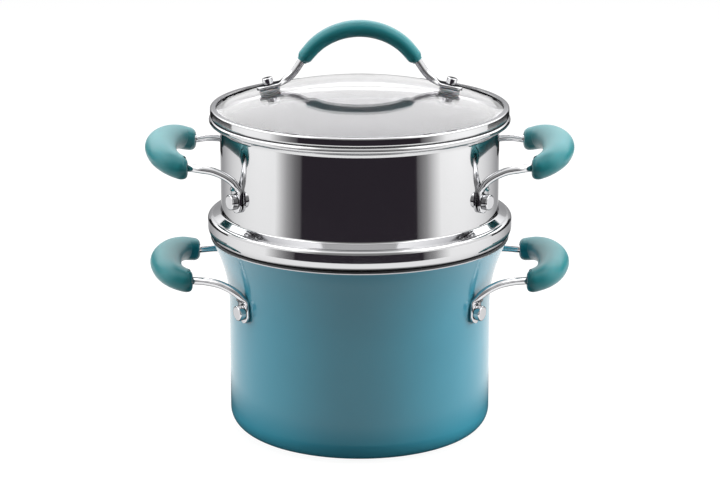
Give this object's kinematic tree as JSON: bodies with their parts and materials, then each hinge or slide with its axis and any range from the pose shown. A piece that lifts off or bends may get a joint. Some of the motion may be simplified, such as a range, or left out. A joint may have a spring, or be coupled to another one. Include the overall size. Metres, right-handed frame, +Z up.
{
  "type": "saucepan with steamer insert",
  "caption": "Tall teal saucepan with a polished steel steamer insert on its rim, a domed glass lid with a steel band, and riveted loop handles with silicone grips.",
  "frame": {"origin": "centre of the pot's flat underside, on the common axis of pot, steamer and lid", "axes": "+Z up along the common axis; +X and -X towards the side handles; the picture looks along +Y"},
  "size_m": [0.2808, 0.2002, 0.2731],
  "materials": {
    "teal_enamel": "gloss enamel over drawn aluminium",
    "steamer_steel": "mirror-polished stainless steel",
    "band_steel": "polished stainless steel",
    "handle_steel": "polished stainless steel rod",
    "rivet_steel": "polished stainless steel",
    "screw_steel": "polished stainless steel",
    "teal_silicone": "soft matte silicone",
    "tempered_glass": "clear tempered glass",
    "clear_silicone": "translucent silicone"
  },
  "bodies": {
    "pot": {"pot_body": "teal_enamel", "pot_grip_left": "teal_silicone", "pot_grip_right": "teal_silicone", "pot_handle_left": "handle_steel", "pot_handle_right": "handle_steel", "pot_rivet_left_back": "rivet_steel", "pot_rivet_left_front": "rivet_steel", "pot_rivet_right_back": "rivet_steel", "pot_rivet_right_front": "rivet_steel"},
    "steamer": {"steamer_body": "steamer_steel", "steamer_grip_left": "teal_silicone", "steamer_grip_right": "teal_silicone", "steamer_handle_left": "handle_steel", "steamer_handle_right": "handle_steel", "steamer_rivet_left_back": "rivet_steel", "steamer_rivet_left_front": "rivet_steel", "steamer_rivet_right_back": "rivet_steel", "steamer_rivet_right_front": "rivet_steel"},
    "lid": {"lid_band": "band_steel", "lid_gasket_left": "clear_silicone", "lid_gasket_right": "clear_silicone", "lid_glass": "tempered_glass", "lid_grip": "teal_silicone", "lid_handle": "handle_steel", "lid_nut_left": "screw_steel", "lid_nut_right": "screw_steel", "lid_screw_left": "screw_steel", "lid_screw_right": "screw_steel", "lid_seal_left": "clear_silicone", "lid_seal_right": "clear_silicone"}
  },
  "joints": [
    {"name": "steamer_lift", "type": "slide", "parent": "pot", "child": "steamer", "axis": [0, 0, 1], "range_m": [0, 0.15]},
    {"name": "lid_lift", "type": "slide", "parent": "steamer", "child": "lid", "axis": [0, 0, 1], "range_m": [0, 0.15]}
  ]
}
